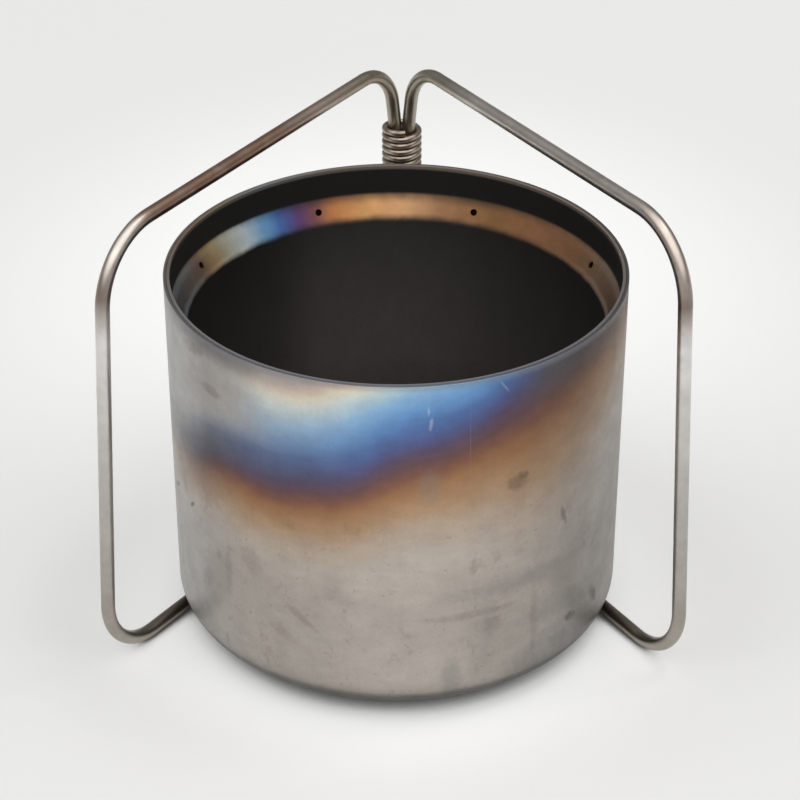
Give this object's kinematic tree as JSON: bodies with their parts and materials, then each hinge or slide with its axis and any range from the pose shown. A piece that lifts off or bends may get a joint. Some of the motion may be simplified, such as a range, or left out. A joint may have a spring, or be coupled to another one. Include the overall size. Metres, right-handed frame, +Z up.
{
  "type": "spirit burner with folding wire pot stand",
  "caption": "Double-walled round metal burner cup with jets inside its mouth, standing on the ground runs of a folding wire pot stand whose wings turn in a wound-wire hinge.",
  "frame": {"origin": "on the ground, under the middle of the whole object as it stands in use", "axes": "+Z up, +X to the right of someone facing the open side, +Y towards the stand's hinge"},
  "size_m": [0.0808, 0.0722, 0.068],
  "materials": {
    "tinted_titanium": "satin titanium sheet, heat-tinted straw, bronze, purple and blue near the rim",
    "chamber_titanium": "titanium sheet oxidised dark brown by the flame, with a lighter tinted shoulder",
    "rod_titanium": "drawn titanium rod, lightly heat-tinted",
    "coil_titanium": "bright drawn titanium wire"
  },
  "bodies": {
    "burner": {"outer_cup": "tinted_titanium", "jet_liner": "chamber_titanium"},
    "hinge": {"hinge_coil": "coil_titanium"},
    "left_wing_body": {"left_wing": "rod_titanium"},
    "right_wing_body": {"right_wing": "rod_titanium"}
  },
  "joints": [
    {"name": "burner_slide", "type": "slide", "parent": "hinge", "child": "burner", "axis": [0, -0.9781, 0.2079], "range_m": [0, 0.08]},
    {"name": "left_wing_swing", "type": "hinge", "parent": "hinge", "child": "left_wing_body", "pos_m": [0.00032, 0.03316, 0], "axis": [0, 0, -1], "range_deg": [-14, 144]},
    {"name": "right_wing_swing", "type": "hinge", "parent": "hinge", "child": "right_wing_body", "pos_m": [0.00236, 0.03316, 0], "axis": [0, 0, 1], "range_deg": [-12, 147]}
  ]
}
